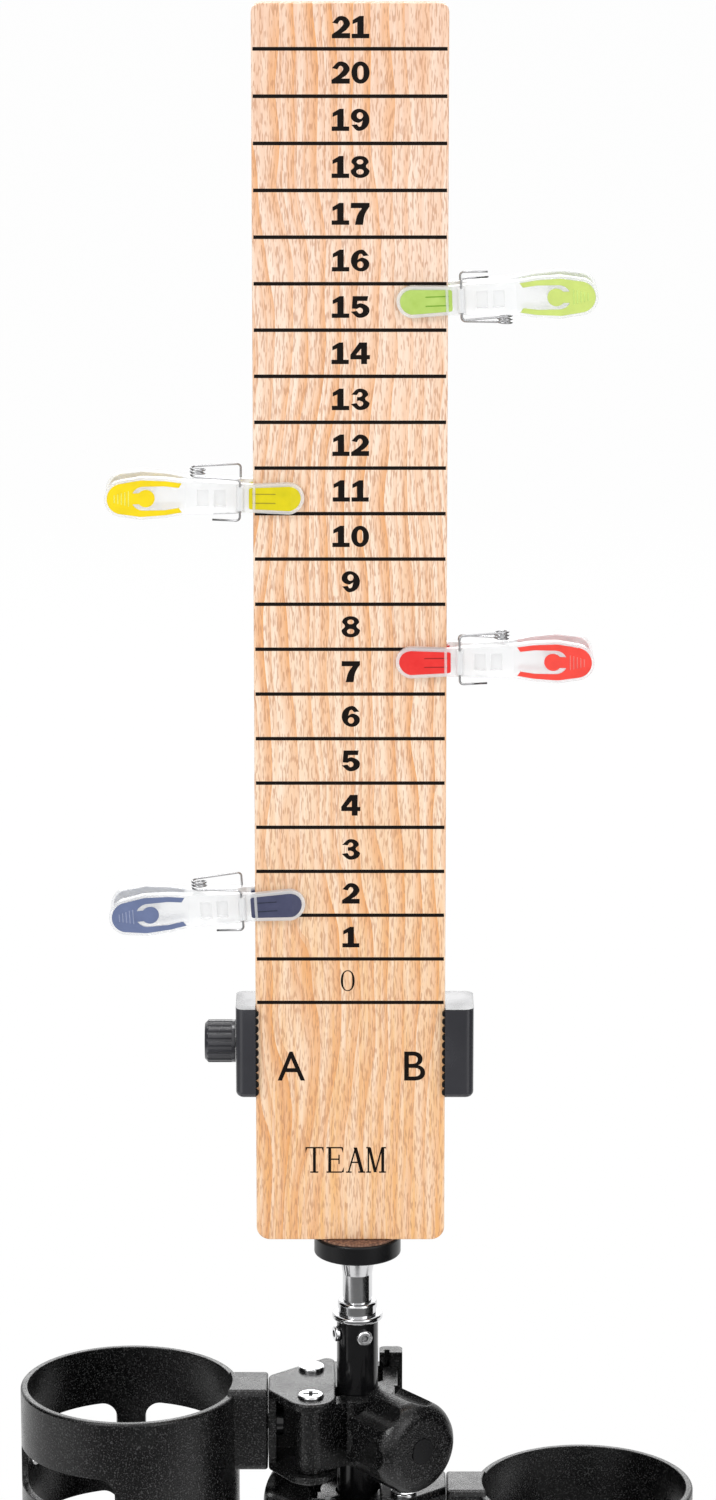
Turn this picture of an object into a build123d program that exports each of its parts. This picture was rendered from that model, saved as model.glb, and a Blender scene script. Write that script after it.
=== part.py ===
from build123d import *
import math
import os

# A tall score board on a light-stand pole, with sliding pegs that keep the score
# and two cup holders clamped to the pole. Millimetres, +Z up, the origin at the
# foot of the pole, the printed face of the board towards -Y.

os.makedirs("parts", exist_ok=True)

# Fits shared by every piece
running_fit = 0.05
seat_gap = 0.1
part_gap = 0.3
overrun = 1.0

# Pole and the plated spigot on its top
pole_length = 164.0
pole_r = 8.0
pole_wall = 1.2
foot_r = 7.2
foot_length = 30.0
flange_r = 9.75
flange_height = 2.5
collar_r = 7.6
collar_height = 5.1
waist_r = 5.7
waist_height = 11.0
flare_r = 7.3
flare_height = 8.5
flange_round = 0.9
collar_round = 1.3
plug_depth = 22.0
stud_r = 3.175
stud_length = 10.0
pole_screw_drop = 5.5
pole_screw_head_r = 3.1
pole_screw_head_height = 1.6
pole_screw_r = 1.5
pole_screw_recess_r = 1.4
pole_screw_recess_depth = 1.3
pole_screw_front_turn = 18.0

# Platform disc and its cork face
disc_r = 16.7
disc_height = 7.6
disc_round = 0.8
cork_r = 16.0
cork_height = 0.8

# Board
board_width = 72.0
board_height = 474.3
board_thickness = 6.0
board_corner_r = 3.6
board_foot_corner_r = 5.2
board_edge_round = 0.5
board_offset_x = -2.7
board_front_y = -10.5
board_lift_gap = 0.3

# Board holder
jaw_rise = 57.7
jaw_height = 35.5
fixed_jaw_width = 10.9
sliding_jaw_width = 7.6
jaw_front_proud = 2.5
holder_depth = 15.2
jaw_outer_round = 3.2
jaw_bottom_round = 2.4
jaw_pad_wall = 1.7
jaw_pad_inset = 0.9
tooth_r = 1.15
tooth_count = 11
heel_reach = 8.7
bridge_inset = 4.0
jaw_slide_gap = 0.4
stem_width = 20.0
stem_round = 2.0
guide_rod_r = 2.0
guide_rod_spread = 10.5
guide_rod_reach = 26.0
guide_rod_bite = 9.0
screw_inset = 8.2
jaw_screw_r = 2.5
jaw_screw_reach = 24.0
jaw_knob_r = 8.2
jaw_knob_length = 11.7
jaw_knob_gap = 0.4
jaw_knob_ribs = 18
jaw_knob_rib_r = 0.9
jaw_knob_rib_out_share = 1 / 3
jaw_knob_chamfer = 1.4

# Score pegs
peg_jaw_reach = 19.0
peg_tail_reach = 55.0
peg_jaw_r = 5.9
peg_neck_r = 5.3
peg_mid_r = 6.2
peg_belly_r = 7.45
peg_handle_r = 7.9
peg_end_r = 6.8
peg_mid_u = 25.0
peg_belly_u = 33.0
peg_handle_u = 41.0
peg_hinge_u = 12.0
peg_hinge_flat = 1.6
peg_hinge_gap = 0.2
peg_pad_proud = 0.9
peg_jaw_tip_v = 4.9
peg_shell_v = 6.6
peg_waist_v = 5.9
peg_tail_inner_v = 6.6
peg_tail_outer_v = 9.6
peg_jaw_root_u = 2.5
peg_shell_tip_u = 14.0
peg_inlay_depth = 1.2
peg_inlay_rim = 1.0
peg_pad_rim = 1.3
peg_pad_end_u = 1.5
peg_pad_corner_r = 0.8
peg_slot_r = 4.5
peg_slot_start_u = 22.0
peg_slot_start_r = 3.0
peg_slot_end_u = 40.5
peg_arm_tip_u = 24.6
peg_arm_root_u = 30.1
peg_button_u = 39.6
peg_button_r = 3.3
peg_button_neck = 2.1
peg_window_length = 4.2
peg_window_width = 6.4
peg_window_depth = 1.6
peg_window_u = 18.5
peg_window_step = 6.2

# Wire spring of a peg
wire_r = 0.4
coil_r = 2.6
coil_pitch = 1.25
coil_turns = 2
coil_u = 20.6
coil_gap = 0.7
bail_u = 4.8
bail_gap = 0.35
bail_overhang = 0.9
bail_corner_r = 1.5
bail_return_u = 15.0
bail_return_v = 5.6
arcs_per_turn = 4
points_per_arc = 12
straight_share = 0.999999

# Places of the four pegs above the foot of the board
green_peg_rise = 365.7
yellow_peg_rise = 291.6
red_peg_rise = 229.1
navy_peg_rise = 133.9

# Each peg: its colour, the board's side, its rise, the tail's tilt in degrees, coil on top
pegs = (("green", 1, green_peg_rise, 2.2, False),
        ("yellow", -1, yellow_peg_rise, 0.4, True),
        ("red", 1, red_peg_rise, 0.6, True),
        ("navy", -1, navy_peg_rise, -3.8, True))

# Pole clamps
upper_clamp_drop = 26.0
clamp_spacing = 9.0
clamp_height = 33.0
clamp_plate = 3.0
clamp_reach = 34.5
clamp_wall = 3.0
clamp_right_x = 9.0
clamp_web_reach = 8.5
clamp_web_bite = 0.5
clamp_web_front_y = 5.3
clamp_web_back_y = 7.6
pin_x = 18.0
front_pin_y = 17.0
rear_pin_y = 12.5
nose_r = 9.8
plate_corner_r = 4.0
plate_tip_r = 3.0
wall_front_y = 13.0
wall_rear_y = 8.0
plate_rear_y = 24.5
plate_edge_round = 0.8
pin_r = 3.0
barrel_r = 6.1
screw_head_r = 4.9
screw_head_height = 2.4
screw_head_sink = 1.2
screw_slot_r = 3.0
rivet_head_r = 5.1
rivet_head_height = 1.5
rivet_round = 0.7
pin_end_r = 4.4
pin_end_height = 1.2

# Rear jaw of a clamp
rear_seat_gap = 0.2
rear_seat_front_y = 2.0
rear_seat_tip_x = 2.0
rear_bar_y = 23.5
rear_bar_depth = 5.0
rear_bar_left_x = 11.0
lug_left_x = 8.6
lug_right_x = 17.6
lug_back_y = 30.5
lug_round = 2.4
lug_rise = 2.5
lug_slot_width = 2.0
lug_slot_depth = 3.0

# Swing arm, pressing screw and star knob of a clamp
arm_inner_gap = 0.6
arm_outer_r = 14.5
arm_start_angle = -131.0
arm_end_angle = 40.0
arm_web_r = 3.1
arm_web_angle = -114.0
arm_tab_left_x = 10.0
arm_tab_right_x = 15.6
arm_tab_front_y = 3.0
arm_stop_gap = 0.4
arm_tab_round = 1.6
press_angle = -52.0
boss_r = 8.5
boss_reach = 20.0
press_pad_r = 5.5
press_pad_height = 2.5
press_travel = 3.0
press_screw_r = 4.0
press_screw_reach = 34.0
star_gap = 0.7
star_length = 25.6
star_r = 18.5
star_dome = 6.5
star_lobes = 7
star_groove_r = 6.1
star_groove_out = 1.6
star_groove_length = 17.4
star_cup_gap = 1.5
star_cup_depth = 6.0
star_cap_r = 5.0
star_cap_height = 1.4
star_cap_proud = 0.4

# Cup holders
holder_arm_length = 11.2
holder_r = 42.5
holder_wall = 2.6
holder_height = 94.0
holder_top_drop = 1.5
holder_rim_round = 1.0
band_top = 23.0
window_height = 16.0
band_mid = 21.0
low_window_height = 17.0
window_round = 6.5
floor_height = 2.6
floor_hole_r = 26.0
window_angles = ((-178.0, -96.0), (28.0, 84.0), (100.0, 168.0))
holder_arm_gap = 0.3
arm_block_front_y = 12.0
arm_block_back_y = 11.0
arm_block_round = 2.5
arm_block_end_round = 1.2
swivel_y = -0.5
swivel_r = 3.0
swivel_length = 13.0
swivel_head_r = 5.5
swivel_head_height = 2.8

# Heights and places that follow from the sizes above
flange_z = pole_length + flange_height
collar_z = flange_z + collar_height
waist_z = collar_z + waist_height
disc_z = waist_z + flare_height
cork_z = disc_z + disc_height
deck_z = cork_z + cork_height
board_z = deck_z + board_lift_gap
board_left_x = board_offset_x - board_width / 2
board_right_x = board_offset_x + board_width / 2
board_back_y = board_front_y + board_thickness
board_mid_y = board_front_y + board_thickness / 2
jaw_z = board_z + jaw_rise
jaw_mid_z = jaw_z + jaw_height / 2
holder_front_y = board_back_y + part_gap
jaw_front_y = board_front_y - jaw_front_proud
jaw_back_y = holder_front_y + holder_depth
screw_y = holder_front_y + screw_inset
bridge_left_x = board_left_x + heel_reach
coil_z = peg_mid_r + wire_r + coil_gap
bail_z = coil_z + bail_overhang
bail_v = peg_shell_v + wire_r + bail_gap
upper_clamp_z = pole_length - upper_clamp_drop - clamp_height / 2
lower_clamp_z = upper_clamp_z - clamp_height - clamp_spacing
arm_tab_back_y = rear_bar_y - arm_stop_gap
star_start = arm_outer_r + star_gap
star_groove_centre = star_r + star_groove_out
star_cup_r = boss_r + star_cup_gap
arm_block_right_x = clamp_reach + holder_arm_gap
holder_centre_x = arm_block_right_x + holder_arm_length + holder_r
press_pad_start = pole_r + seat_gap
jaw_left_x = board_left_x - sliding_jaw_width
jaw_right_x = board_right_x + fixed_jaw_width


def block(x0, x1, y0, y1, z0, z1):
    """A box between two corners."""
    return Pos((x0 + x1) / 2, (y0 + y1) / 2, (z0 + z1) / 2) * Box(x1 - x0, y1 - y0, z1 - z0)


def post(x, y, r, z0, z1):
    """An upright round bar."""
    return Pos(x, y, (z0 + z1) / 2) * Cylinder(r, z1 - z0)


def bar_x(y, z, r, x0, x1):
    """A round bar along X."""
    return Pos((x0 + x1) / 2, y, z) * Rot(0, 90, 0) * Cylinder(r, x1 - x0)


def upright(shape):
    """The edges of a solid that run along Z."""
    return shape.edges().filter_by(Axis.Z)


def hull_plate(discs, z0, z1):
    """A plate whose outline wraps round the given discs, each an x, a y and a radius."""
    rims = [edge for x, y, r in discs for edge in (Pos(x, y) * Circle(r)).edges()]
    return extrude(Pos(0, 0, z0) * make_hull(rims), z1 - z0)


def save(name, shape):
    """Write one named piece."""
    export_step(shape, f"parts/{name}.step")


def pole_tube():
    """Black tube with a drawn-in foot and the two holes of its screws."""
    tube = post(0, 0, foot_r, 0, foot_length) + post(0, 0, pole_r, foot_length, pole_length)
    tube -= post(0, 0, foot_r - pole_wall, -overrun, foot_length + pole_wall)
    tube -= post(0, 0, pole_r - pole_wall, foot_length + pole_wall, pole_length + overrun)
    for turn in pole_screw_turns():
        tube -= pole_screw_place(turn) * Cylinder(pole_screw_r, 2 * pole_r)
    return tube


def pole_screw_turns():
    """Where the two round-head screws sit round the pole, in degrees from the front."""
    return (pole_screw_front_turn, pole_screw_front_turn - 90)


def pole_screw_place(turn):
    """A frame on the pole's skin whose Z axis points outwards."""
    height = pole_length - pole_screw_drop
    return Pos(0, 0, height) * Rot(0, 0, turn) * Pos(0, -pole_r, 0) * Rot(90, 0, 0)


def pole_screws():
    """The two screws that hold the spigot in the tube, as one group."""
    screws = []
    reach = pole_wall + part_gap
    for turn in pole_screw_turns():
        head = Pos(0, 0, pole_screw_head_height / 2) * Cylinder(pole_screw_head_r, pole_screw_head_height)
        head = fillet(head.edges().group_by(Axis.Z)[-1], pole_screw_head_height / 2)
        head -= Pos(0, 0, pole_screw_head_height) * Cylinder(pole_screw_recess_r, 2 * pole_screw_recess_depth)
        shank = Pos(0, 0, -reach / 2) * Cylinder(pole_screw_r - running_fit, reach)
        screws.append(pole_screw_place(turn) * (head + shank))
    return Compound(screws)


def spigot():
    """Plated stud: plug in the tube, flange, collar, waist, flare and the thread on top."""
    plug = post(0, 0, pole_r - pole_wall - running_fit, pole_length - plug_depth, pole_length)
    for turn in pole_screw_turns():
        plug -= pole_screw_place(turn) * Cylinder(pole_screw_r, 2 * (pole_wall + overrun))
    flange = post(0, 0, flange_r, pole_length, flange_z)
    flange = fillet(flange.edges().filter_by(GeomType.CIRCLE), flange_round)
    collar = post(0, 0, collar_r, flange_z, collar_z)
    collar = fillet(collar.edges().group_by(Axis.Z)[-1], collar_round)
    waist = post(0, 0, waist_r, collar_z, waist_z)
    flare = Pos(0, 0, waist_z + flare_height / 2) * Cone(waist_r, flare_r, flare_height)
    stud = post(0, 0, stud_r, disc_z, deck_z + stud_length)
    return plug + flange + collar + waist + flare + stud


def platform_disc():
    """Round black deck that the board holder stands on."""
    disc = post(0, 0, disc_r, disc_z, cork_z)
    disc = fillet(disc.edges().filter_by(GeomType.CIRCLE), disc_round)
    return disc - post(0, 0, stud_r, disc_z - overrun, cork_z + overrun)


def cork_pad():
    """Thin cork face of the deck."""
    return post(0, 0, cork_r, cork_z, deck_z) - post(0, 0, stud_r, cork_z - overrun, deck_z + overrun)


def scoreboard():
    """Beech board with rounded corners."""
    board = block(board_left_x, board_right_x, board_front_y, board_back_y, board_z, board_z + board_height)
    board = fillet(board.edges().filter_by(Axis.Y).group_by(Axis.Z)[-1], board_corner_r)
    board = fillet(board.edges().filter_by(Axis.Y).group_by(Axis.Z)[0], board_foot_corner_r)
    rims = board.faces().filter_by(Axis.Y).edges()
    return fillet(rims, board_edge_round)


def jaw_cheek(x0, x1, outer_side):
    """Upright cheek of a jaw, round on its outer edges and along its foot."""
    cheek = block(x0, x1, jaw_front_y, jaw_back_y, jaw_z, jaw_z + jaw_height)
    outer = upright(cheek).group_by(Axis.X)[-1 if outer_side > 0 else 0]
    cheek = fillet(outer, jaw_outer_round)
    foot = cheek.edges().group_by(Axis.Z)[0].filter_by(Axis.Y)
    outer_foot = foot.sort_by(Axis.X)[-1 if outer_side > 0 else 0]
    return fillet(outer_foot, jaw_bottom_round)


def jaw_pad_recess(edge_x, side):
    """The pocket in a cheek that its rubber pad fills."""
    y0 = jaw_front_y + jaw_pad_inset
    y1 = board_back_y
    z0 = jaw_z + jaw_pad_inset
    z1 = jaw_z + jaw_height - jaw_pad_inset
    deep = edge_x + side * (seat_gap + jaw_pad_wall)
    return block(min(edge_x, deep), max(edge_x, deep), y0, y1, z0, z1)


def jaw_pad(edge_x, side):
    """Rubber pad against the board's edge, with a row of teeth over its front."""
    pad = jaw_pad_recess(edge_x, side)
    z0 = jaw_z + jaw_pad_inset
    z1 = jaw_z + jaw_height - jaw_pad_inset
    y0 = jaw_front_y + jaw_pad_inset
    inner = edge_x + side * seat_gap
    pad -= block(min(edge_x, inner), max(edge_x, inner), board_front_y - seat_gap, board_back_y + overrun,
                 z0 - overrun, z1 + overrun)
    pitch = (z1 - z0 - 2 * tooth_r) / (tooth_count - 1)
    depth = board_front_y - seat_gap - y0
    for i in range(tooth_count):
        centre = Pos(edge_x, y0 + depth / 2, z0 + tooth_r + i * pitch)
        pad += centre * Rot(90, 0, 0) * Cylinder(tooth_r, depth)
    return pad


def holder_frame():
    """Fixed jaw, bridge behind the board and the stem down to the deck, in one piece."""
    cheek = jaw_cheek(board_right_x, jaw_right_x, 1) - jaw_pad_recess(board_right_x, 1)
    bridge = block(bridge_left_x, jaw_right_x - jaw_outer_round, holder_front_y, jaw_back_y,
                   jaw_z + bridge_inset, jaw_z + jaw_height - bridge_inset)
    stem = block(-stem_width / 2, stem_width / 2, holder_front_y, jaw_back_y, deck_z + seat_gap,
                 jaw_z + jaw_height - bridge_inset)
    stem = fillet(upright(stem).group_by(Axis.Y)[-1], stem_round)
    frame = cheek + bridge + stem
    frame -= post(0, 0, stud_r + running_fit, deck_z, deck_z + stud_length + part_gap)
    for z in guide_rod_heights():
        frame -= bar_x(screw_y, z, guide_rod_r + running_fit, bridge_left_x - overrun,
                       bridge_left_x + guide_rod_reach)
    return frame - bar_x(screw_y, jaw_mid_z, jaw_screw_r + running_fit, bridge_left_x - overrun,
                         bridge_left_x + jaw_screw_reach + overrun)


def guide_rod_heights():
    """Heights of the two guide rods."""
    return (jaw_mid_z - guide_rod_spread, jaw_mid_z + guide_rod_spread)


def sliding_jaw():
    """Left jaw: a cheek and a heel behind the board that slides on two rods."""
    cheek = jaw_cheek(jaw_left_x, board_left_x, -1) - jaw_pad_recess(board_left_x, -1)
    heel = block(jaw_left_x + jaw_outer_round, bridge_left_x - jaw_slide_gap, holder_front_y, jaw_back_y,
                 jaw_z + bridge_inset, jaw_z + jaw_height - bridge_inset)
    jaw = cheek + heel
    for z in guide_rod_heights():
        jaw -= bar_x(screw_y, z, guide_rod_r, bridge_left_x - jaw_slide_gap - guide_rod_bite,
                     bridge_left_x)
    return jaw - bar_x(screw_y, jaw_mid_z, jaw_screw_r + running_fit, jaw_left_x - overrun, bridge_left_x)


def guide_rods():
    """Two steel rods fixed in the sliding jaw, as one group."""
    start = bridge_left_x - jaw_slide_gap - guide_rod_bite
    end = bridge_left_x + guide_rod_reach - part_gap
    return Compound([bar_x(screw_y, z, guide_rod_r, start, end) for z in guide_rod_heights()])


def jaw_screw():
    """Steel screw that draws the sliding jaw in."""
    start = jaw_left_x - jaw_knob_gap - jaw_knob_length + jaw_knob_chamfer + overrun
    return bar_x(screw_y, jaw_mid_z, jaw_screw_r, start, bridge_left_x + jaw_screw_reach)


def jaw_knob():
    """Ribbed knob on the outer end of the jaw screw."""
    x1 = jaw_left_x - jaw_knob_gap
    x0 = x1 - jaw_knob_length
    knob = bar_x(screw_y, jaw_mid_z, jaw_knob_r, x0, x1)
    knob = chamfer(knob.edges().group_by(Axis.X)[0], jaw_knob_chamfer)
    rib_centre = jaw_knob_r + jaw_knob_rib_r * jaw_knob_rib_out_share
    for i in range(jaw_knob_ribs):
        turn = math.radians(360 * i / jaw_knob_ribs)
        y = screw_y + rib_centre * math.cos(turn)
        z = jaw_mid_z + rib_centre * math.sin(turn)
        knob -= bar_x(y, z, jaw_knob_rib_r, x0 - overrun, x1 - jaw_knob_chamfer)
    start = x0 + jaw_knob_chamfer + overrun
    return knob - bar_x(screw_y, jaw_mid_z, jaw_screw_r, start, x1 + overrun)


def peg_shell():
    """One clear half of a peg, lying along X with its outer face up and its board side down."""
    jaw = hull_plate([(peg_jaw_r - peg_jaw_reach, 0, peg_jaw_r), (0, 0, peg_neck_r)], 0, peg_tail_outer_v)
    middle = hull_plate([(0, 0, peg_neck_r), (peg_mid_u, 0, peg_mid_r)], 0, peg_tail_outer_v)
    handle = hull_plate(peg_handle_discs(0), 0, peg_tail_outer_v)
    side = extrude(peg_side_view(), peg_handle_r + overrun, both=True)
    return (jaw + middle + handle) & side


def peg_handle_discs(rim):
    """The discs that the handle's outline wraps round, drawn in by a rim."""
    discs = ((peg_mid_u, peg_mid_r), (peg_belly_u, peg_belly_r), (peg_handle_u, peg_handle_r),
             (peg_tail_reach - peg_end_r, peg_end_r))
    return [(u, 0, r - rim) for u, r in discs]


def peg_side_view():
    """Side view of a peg half: flat jaw, hinge line and a tail that leans away."""
    jaw_v = board_thickness / 2 + peg_pad_proud
    line = Polyline(
        (-peg_jaw_reach, 0, jaw_v), (peg_jaw_root_u, 0, jaw_v),
        (peg_hinge_u - peg_hinge_flat, 0, peg_hinge_gap), (peg_hinge_u + peg_hinge_flat, 0, peg_hinge_gap),
        (peg_tail_reach, 0, peg_tail_inner_v), (peg_tail_reach, 0, peg_tail_outer_v),
        (peg_mid_u, 0, peg_waist_v), (0, 0, peg_shell_v), (-peg_shell_tip_u, 0, peg_shell_v),
        (-peg_jaw_reach, 0, peg_jaw_tip_v), close=True)
    return make_face(line)


def peg_windows():
    """Two shallow pockets in the middle of a peg half."""
    pockets = []
    for u in (peg_window_u - peg_window_step, peg_window_u):
        pockets.append(block(u - peg_window_length / 2, u + peg_window_length / 2, -peg_window_width / 2,
                             peg_window_width / 2, peg_waist_v - peg_window_depth, peg_tail_outer_v))
    return pockets


def peg_inlay(shell):
    """Coloured inlay of the tail: a U with a round button, let into the outer skin."""
    skin = shell - Pos(0, 0, -peg_inlay_depth) * shell
    whole = hull_plate(peg_handle_discs(peg_inlay_rim), 0, peg_tail_outer_v)
    slot = hull_plate([(peg_slot_start_u, 0, peg_slot_start_r), (peg_belly_u, 0, peg_slot_r),
                       (peg_slot_end_u, 0, peg_slot_r)], 0, peg_tail_outer_v)
    beyond = make_face(Polyline(
        (peg_hinge_u, -peg_handle_r), (peg_arm_tip_u, -peg_handle_r), (peg_arm_root_u, 0),
        (peg_arm_tip_u, peg_handle_r), (peg_hinge_u, peg_handle_r), close=True))
    arms = whole - slot - extrude(beyond, peg_tail_outer_v, both=True)
    button = post(peg_button_u, 0, peg_button_r, 0, peg_tail_outer_v)
    neck = block(peg_button_u, peg_slot_end_u + peg_slot_r + overrun, -peg_button_neck, peg_button_neck,
                 0, peg_tail_outer_v)
    return skin & (arms + button + neck)


def peg_jaw_pad(shell):
    """Soft pad through the jaw, proud of it on the board's side."""
    corner_u = peg_pad_end_u - peg_pad_corner_r
    corner_y = peg_neck_r - peg_pad_rim - peg_pad_corner_r
    discs = [(peg_jaw_r - peg_jaw_reach, 0, peg_jaw_r - peg_pad_rim),
             (corner_u, -corner_y, peg_pad_corner_r), (corner_u, corner_y, peg_pad_corner_r)]
    column = hull_plate(discs, 0, peg_tail_outer_v)
    foot = hull_plate(discs, board_thickness / 2 + running_fit, board_thickness / 2 + peg_pad_proud)
    return (column & shell) + foot


def biarc(start, start_way, end, end_way):
    """Two arcs that leave start along start_way and reach end along end_way."""
    chord = end - start
    both = start_way + end_way
    a = 2 - 2 * start_way.dot(end_way)
    b = 2 * chord.dot(both)
    c = chord.dot(chord)
    reach = (math.sqrt(b * b + 4 * a * c) - b) / (2 * a)
    first = start + start_way * reach
    last = end - end_way * reach
    middle = (first + last) * 0.5
    return [TangentArc(start, middle, tangent=start_way), TangentArc(middle, end, tangent=last - first)]


def wire_line(stations):
    """One smooth line through stations, each a point and the way the wire runs there."""
    edges = []
    for (start, start_way), (end, end_way) in zip(stations, stations[1:]):
        chord = (end - start).normalized()
        straight = chord.dot(start_way) > straight_share and chord.dot(end_way) > straight_share
        edges += [Line(start, end)] if straight else biarc(start, start_way, end, end_way)
    return edges


def coil_lean():
    """Slope of a leg that is tangent to the coil and meets the bail, in radians."""
    run = coil_u - bail_u
    return math.atan2(bail_v, run) - math.asin(coil_r / math.hypot(run, bail_v))


def coil_stations():
    """Points on the coil, from the front leg round to the back leg."""
    lean = coil_lean()
    sweep = math.pi - 2 * lean + 2 * math.pi * coil_turns
    steps = math.ceil(sweep / (2 * math.pi) * arcs_per_turn)
    rise = coil_pitch / (2 * math.pi)
    stations = []
    for i in range(steps + 1):
        turned = sweep * i / steps
        angle = math.pi / 2 - lean - turned
        point = Vector(coil_u + coil_r * math.cos(angle), -coil_z - rise * turned, coil_r * math.sin(angle))
        way = Vector(coil_r * math.sin(angle), -rise, -coil_r * math.cos(angle)).normalized()
        stations.append((point, way))
    return stations


def leg_stations(coil_point):
    """From the wire's free end along the body, across it as a bail and back to the coil."""
    end = Vector(bail_return_u, bail_z, bail_return_v)
    high = Vector(bail_u, bail_z, bail_v)
    low = Vector(bail_u, coil_point.Y, bail_v)
    out = (high - end).normalized()
    across = (low - high).normalized()
    back = (coil_point - low).normalized()
    return [(end, out), (high - out * bail_corner_r, out), (high + across * bail_corner_r, across),
            (low - across * bail_corner_r, across), (low + back * bail_corner_r, back),
            (coil_point - back * coil_r, back)]


def mirrored(vector):
    """The same vector on the other side of the peg's middle plane."""
    return Vector(vector.X, vector.Y, -vector.Z)


def peg_spring():
    """Wire spring of a peg, one unbroken tube: bail, leg, coil, leg and bail."""
    coil = coil_stations()
    front = leg_stations(coil[0][0])
    back = [(mirrored(point), -mirrored(way)) for point, way in leg_stations(mirrored(coil[-1][0]))]
    edges = wire_line(front + coil + back[::-1])
    start, way = front[0]
    section = Plane(origin=start, z_dir=way) * Circle(wire_r)
    return sweep(section, path=Wire(edges)), edges


def least_gap(edges):
    """Least space between two stretches of the wire that don't follow each other."""
    points = []
    along = 0.0
    for edge in edges:
        for i in range(points_per_arc):
            points.append((along + edge.length * i / points_per_arc, edge.position_at(i / points_per_arc)))
        along += edge.length
    least = along
    for i, (here, point) in enumerate(points):
        for there, other in points[i + 1:]:
            if there - here > 2 * coil_r:
                least = min(least, (other - point).length)
    return least - 2 * wire_r


def peg_pieces():
    """The five pieces of a peg in its own frame: front, back, their soft pads and the spring."""
    whole = peg_shell()
    pads = [peg_inlay(whole), peg_jaw_pad(whole)]
    shell = whole
    for cut in pads + peg_windows():
        shell -= cut
    spring, edges = peg_spring()
    print("least gap of a peg's spring to itself", round(least_gap(edges), 3))
    soft = Compound(pads)
    return shell, mirror(shell, about=Plane.XY), soft, mirror(soft, about=Plane.XY), spring


def peg_place(side, rise, tail_tilt, coil_up):
    """Where a peg's own frame stands on the board."""
    edge_x = board_right_x if side > 0 else board_left_x
    upright_turn = 90 if coil_up == (side < 0) else 270
    tilt = -tail_tilt if side > 0 else 180 + tail_tilt
    return Pos(edge_x, board_mid_y, board_z + rise) * Rot(0, tilt, 0) * Rot(upright_turn, 0, 0)


def save_pegs():
    """Four copies of one peg along the two edges of the board."""
    shell_a, shell_b, soft_a, soft_b, spring = peg_pieces()
    for name, side, rise, tail_tilt, coil_up in pegs:
        place = peg_place(side, rise, tail_tilt, coil_up)
        if coil_up == (side < 0):
            front, back, front_soft, back_soft = shell_a, shell_b, soft_a, soft_b
        else:
            front, back, front_soft, back_soft = shell_b, shell_a, soft_b, soft_a
        save(f"{name}_peg_front", place * front)
        save(f"{name}_peg_back", place * back)
        save(f"{name}_peg_front_pads", place * front_soft)
        save(f"{name}_peg_back_pads", place * back_soft)
        save(f"{name}_peg_spring", place * spring)


def sector(r0, r1, start, end, z0, z1):
    """Part of a ring between two angles in degrees."""
    face = make_face(Polyline((r0, 0, z0), (r1, 0, z0), (r1, 0, z1), (r0, 0, z1), close=True))
    return Rot(0, 0, start) * revolve(face, Axis.Z, revolution_arc=end - start)


def press_bar(r, s0, s1):
    """A round bar along the line on which the knob presses the pole."""
    return Rot(0, 0, press_angle) * bar_x(0, 0, r, s0, s1)


def clamp_body():
    """Two plates, the outer wall and a web, as one fork that holds both pins."""
    half = clamp_height / 2
    discs = [(-pin_x, -front_pin_y, nose_r),
             (plate_corner_r - clamp_reach, plate_corner_r - wall_front_y, plate_corner_r),
             (plate_corner_r - clamp_reach, wall_rear_y - plate_corner_r, plate_corner_r),
             (-clamp_right_x - plate_tip_r, plate_rear_y - plate_tip_r, plate_tip_r)]
    top = hull_plate(discs, half - clamp_plate, half)
    top = fillet(top.edges().group_by(Axis.Z)[-1], plate_edge_round)
    bottom = hull_plate(discs, -half, clamp_plate - half)
    bottom = fillet(bottom.edges().group_by(Axis.Z)[0], plate_edge_round)
    wall = block(-clamp_reach, clamp_wall - clamp_reach, plate_edge_round - wall_front_y + plate_corner_r / 2,
                 wall_rear_y - plate_corner_r / 2, clamp_plate - half, half - clamp_plate)
    web = block(clamp_wall - clamp_reach - clamp_web_bite, clamp_wall - clamp_reach + clamp_web_reach,
                clamp_web_front_y, clamp_web_back_y, clamp_plate - half, half - clamp_plate)
    body = top + bottom + wall + web
    for y in (-front_pin_y, rear_pin_y):
        body -= post(-pin_x, y, pin_r, -half - overrun, half + overrun)
    body -= post(-pin_x, -front_pin_y, screw_head_r + seat_gap, half - screw_head_sink, half + overrun)
    return body - bar_x(swivel_y, 0, swivel_r, -clamp_reach - overrun, clamp_wall - clamp_reach + overrun)


def hinge_screw():
    """Front pin of the clamp, a screw that the swing arm turns on."""
    half = clamp_height / 2
    foot = half - screw_head_sink
    head = post(-pin_x, -front_pin_y, screw_head_r, foot, foot + screw_head_height)
    head = fillet(head.edges().group_by(Axis.Z)[-1], rivet_round)
    top = foot + screw_head_height
    for turn in (0, 90):
        slot = Pos(-pin_x, -front_pin_y, top) * Rot(0, 0, turn)
        head -= slot * Box(2 * screw_slot_r, screw_slot_r / 2, screw_head_height)
    shank = post(-pin_x, -front_pin_y, pin_r, -half, foot)
    return head + shank + post(-pin_x, -front_pin_y, pin_end_r, -half - pin_end_height, -half)


def rivet():
    """Rear pin of the clamp, a rivet with a low plated head."""
    half = clamp_height / 2
    head = post(-pin_x, rear_pin_y, rivet_head_r, half, half + rivet_head_height)
    head = fillet(head.edges().group_by(Axis.Z)[-1], rivet_round)
    shank = post(-pin_x, rear_pin_y, pin_r, -half, half)
    return head + shank + post(-pin_x, rear_pin_y, pin_end_r, -half - pin_end_height, -half)


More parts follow.
